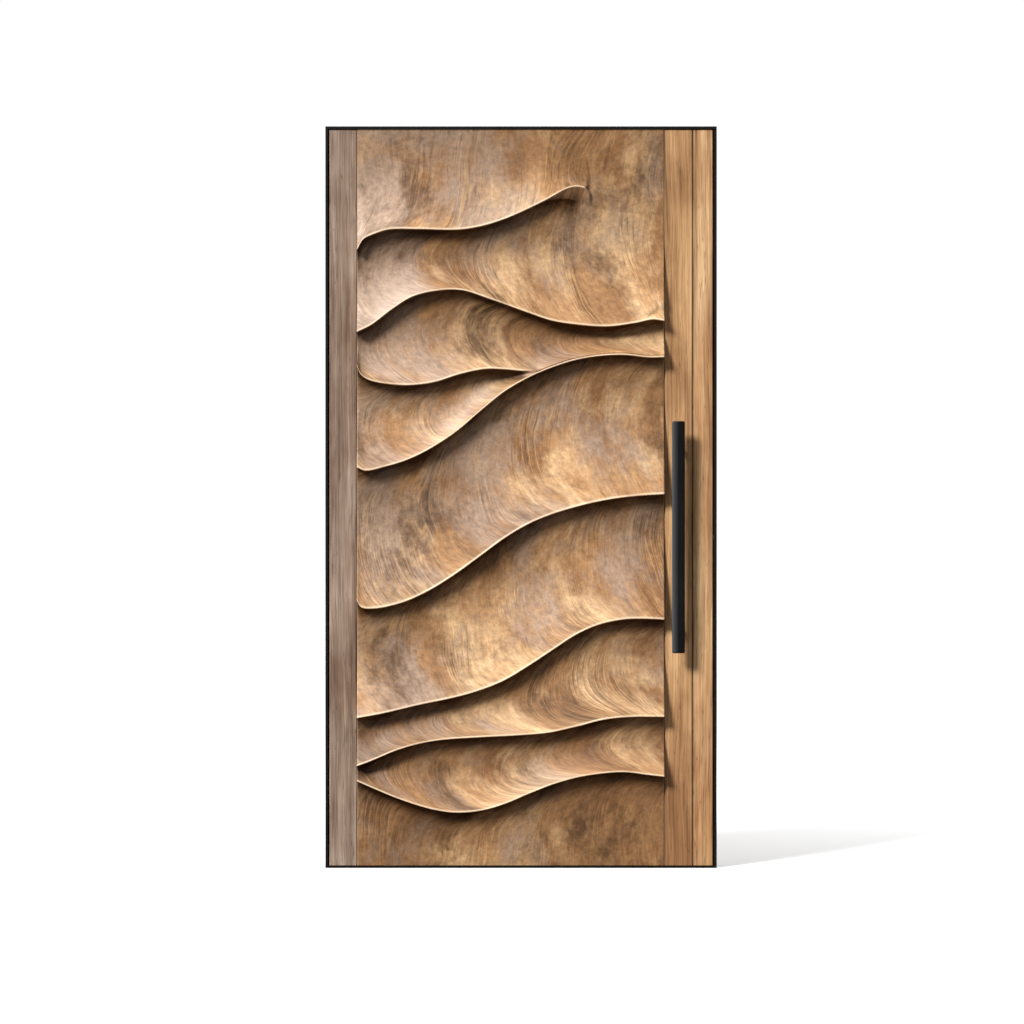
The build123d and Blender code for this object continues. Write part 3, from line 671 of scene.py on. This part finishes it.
def bare_metal(name, colour, roughness, lines=(1.0, 1.0, 0.04)):
    """Steel or bronze with fine drawn lines and a slight change of tone."""
    g = Graph(name)
    x, y, z = g.axes()
    place = g.point(*[g.math("MULTIPLY", value, share) for value, share in zip((x, y, z), lines)])
    drawn = g.noise(place, 900.0, 3.0, 0.6)
    cloudy = g.noise(g.place(), 40.0, 3.0, 0.6)
    dark = tuple(value * 0.72 for value in colour)
    tone = g.mix(g.grey_ramp(cloudy, [(0.35, 0.0), (0.65, 1.0)]), dark, colour)
    g.bump(drawn, 0.12, 0.0003)
    rough = g.grey_ramp(drawn, [(0.3, roughness - 0.08), (0.7, roughness + 0.10)])
    return g.finish(tone, rough, metallic=1.0)


def coated(name, dark, light, roughness, speckle=700.0, specular=0.4, pale_highlight=None):
    """A painted or moulded face with a fine pebbled skin, paler to the left as a painted highlight when a
    span is given.
    """
    g = Graph(name)
    pebbles = g.noise(g.place(), speckle, 2.0, 0.5)
    cloudy = g.noise(g.place(), 6.0, 3.0, 0.6)
    tone = g.mix(g.grey_ramp(cloudy, [(0.38, 0.0), (0.64, 1.0)]), dark, light)
    tone = g.mix(g.grey_ramp(pebbles, [(0.45, 0.0), (0.75, 0.35)]), tone, tuple(v * 1.5 for v in light))
    # Painted highlight: the face grows paler towards its left edge.
    if pale_highlight is not None:
        left, middle = pale_highlight
        along = g.math("DIVIDE", g.math("SUBTRACT", g.axes()[0], left), middle - left)
        tone = g.mix(g.grey_ramp(along, [(0.0, 1.0), (0.10, 0.7), (1.0, 0.0)]), tone, linear(84, 87, 92))
    g.bump(pebbles, 0.15, 0.0004)
    rough = g.grey_ramp(pebbles, [(0.3, roughness - 0.06), (0.7, roughness + 0.08)])
    return g.finish(tone, rough, specular=specular)


def brush_pile():
    """Dense black fibres that stand side by side."""
    g = Graph("brush_pile_fibres")
    fibres = g.noise(g.place(), 1500.0, 2.0, 0.6)
    colour = g.ramp(fibres, [(0.35, (0.008, 0.008, 0.009)), (0.65, (0.045, 0.045, 0.048))])
    g.bump(fibres, 0.6, 0.0010)
    return g.finish(colour, 0.9, specular=0.2)


def make_materials():
    """One material for each material slot of the record."""
    steel = (0.42, 0.42, 0.43)
    bar_low, bar_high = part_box("pull_bar_front")
    return {
        "frame_black": coated("frame_powder_coat", (0.0030, 0.0028, 0.0027), (0.0055, 0.0050, 0.0048), 0.55,
                              specular=0.22),
        "screw_black": coated("screw_black_oxide", (0.010, 0.010, 0.010), (0.026, 0.025, 0.024), 0.40),
        "screw_steel": bare_metal("screw_zinc", steel, 0.34),
        "seal_rubber": coated("seal_rubber_skin", (0.006, 0.006, 0.006), (0.012, 0.012, 0.013), 0.66, 400.0),
        "catch_steel": bare_metal("catch_satin_steel", (0.36, 0.36, 0.37), 0.36),
        "pivot_steel": bare_metal("pivot_turned_steel", steel, 0.32, (0.2, 0.2, 1.0)),
        "bush_bronze": bare_metal("bush_bronze_bearing", (0.46, 0.27, 0.10), 0.34, (0.2, 0.2, 1.0)),
        "core_wood": board_wood("core_softwood", 31.0, CORE_TONES, (214, 188, 150)),
        "core_fill": board_wood("core_fill_board", 43.0, CORE_TONES, (226, 208, 180)),
        "front_boards": board_wood("front_boards_oiled", 12.0, FRONT_TONES, (176, 156, 142)),
        "back_boards": board_wood("back_boards_oiled", 57.0, BACK_TONES, (206, 180, 152)),
        "carved_wood": carved_wood(),
        "brush_pile": brush_pile(),
        # The pull bar is paler to its left as a painted highlight.
        "pull_black": coated("pull_powder_coat", (0.0035, 0.0035, 0.004), (0.006, 0.006, 0.007), 0.40,
                             specular=0.15, pale_highlight=(bar_low.x, (bar_low.x + bar_high.x) / 2)),
        "spring_steel": bare_metal("spring_blued_steel", (0.25, 0.25, 0.27), 0.30),
        "catch_nylon": coated("catch_nylon_skin", (0.62, 0.60, 0.55), (0.74, 0.72, 0.67), 0.42, 300.0),
    }


def board_tones():
    """The front's boards: the left one is greyer as a painted cool shade, the outer right one paler, with
    dirt and painted shade in the joints.
    """
    left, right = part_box("carved_panel")
    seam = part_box("right_outer_board")[0]
    return {
        "left_stile_board": board_wood("left_board_oiled", 12.0, SHADE_GREY_TONES, (170, 150, 134), (left.x,)),
        "right_inner_board": board_wood("inner_board_oiled", 12.0, FRONT_TONES, (176, 156, 142),
                                        (right.x, seam.x)),
        "right_outer_board": board_wood("outer_board_oiled", 27.0, GOLDEN_TONES, (190, 166, 142), (seam.x,)),
    }


def dress(materials, panel):
    """Every node takes its slot's material, some boards their own tone, the relief the carved wood."""
    own = board_tones()
    for part in frame["record"]["subparts"]:
        node = part["node"]
        mesh = frame["nodes"][node].data
        mesh.materials.clear()
        mesh.materials.append(own.get(node, materials[part["material_slot"]]))
    panel.data.materials.append(materials["carved_wood"])


def floor():
    """A plain pale floor: white to the camera, a middle grey to what it lights."""
    corners = [(-FLOOR_REACH, -FLOOR_REACH, 0.0), (FLOOR_REACH, -FLOOR_REACH, 0.0),
               (FLOOR_REACH, FLOOR_REACH, 0.0), (-FLOOR_REACH, FLOOR_REACH, 0.0)]
    mesh = bpy.data.meshes.new("floor")
    mesh.from_pydata(corners, [], [(0, 1, 2, 3)])
    made = bpy.data.objects.new("floor", mesh)
    bpy.context.scene.collection.objects.link(made)
    g = Graph("floor_paper")
    seen = g.node("ShaderNodeLightPath").outputs["Is Camera Ray"]
    g.put(g.shader.inputs["Emission Color"], (1.0, 1.0, 1.0, 1.0))
    g.put(g.shader.inputs["Emission Strength"], g.math("MULTIPLY", seen, 0.16))
    g.finish(g.mix(seen, (0.26, 0.255, 0.25), (0.88, 0.88, 0.88)), 0.9, specular=0.1)
    mesh.materials.append(g.material)


def add_lamp(name, data, place, aim):
    """A lamp at a place, turned to what it lights."""
    made = bpy.data.objects.new(name, data)
    made.location = place
    made.rotation_euler = (Vector(aim) - Vector(place)).to_track_quat("-Z", "Y").to_euler()
    bpy.context.scene.collection.objects.link(made)


def light():
    """A soft key from the upper left, one lamp for the back, and a plain sky that is white to the camera."""
    key = bpy.data.lights.new("key", "SUN")
    key.energy = 4.8
    key.angle = 0.26
    key.color = (1.0, 0.97, 0.93)
    add_lamp("key", key, (-5.4, -6.0, 6.2), (0.0, 0.0, 0.0))
    back = bpy.data.lights.new("back", "AREA")
    back.shape = "SQUARE"
    back.size = 1.6
    back.energy = 300.0
    add_lamp("back", back, (3.2, 4.2, 4.2), (0.0, 0.1, 1.2))
    world = bpy.data.worlds.new("plain_sky")
    world.use_nodes = True
    nodes = world.node_tree.nodes
    seen = nodes.new("ShaderNodeLightPath").outputs["Is Camera Ray"]
    strength = nodes.new("ShaderNodeMapRange")
    strength.inputs["To Min"].default_value = SKY_LIGHT
    world.node_tree.links.new(seen, strength.inputs["Value"])
    world.node_tree.links.new(strength.outputs[0], nodes["Background"].inputs["Strength"])
    nodes["Background"].inputs["Color"].default_value = (1.0, 1.0, 1.0, 1.0)
    bpy.context.scene.world = world


def camera():
    data = bpy.data.cameras.new("camera")
    data.lens = CAMERA_LENS
    data.sensor_width = 36.0
    data.clip_end = 100.0
    made = bpy.data.objects.new("camera", data)
    made.location = CAMERA_PLACE
    made.rotation_euler = (math.radians(90), 0.0, 0.0)
    bpy.context.scene.collection.objects.link(made)
    bpy.context.scene.camera = made


relief = carved_panel()
dress(make_materials(), relief)
floor()
light()
camera()
bpy.context.scene.view_settings.view_transform = "Standard"
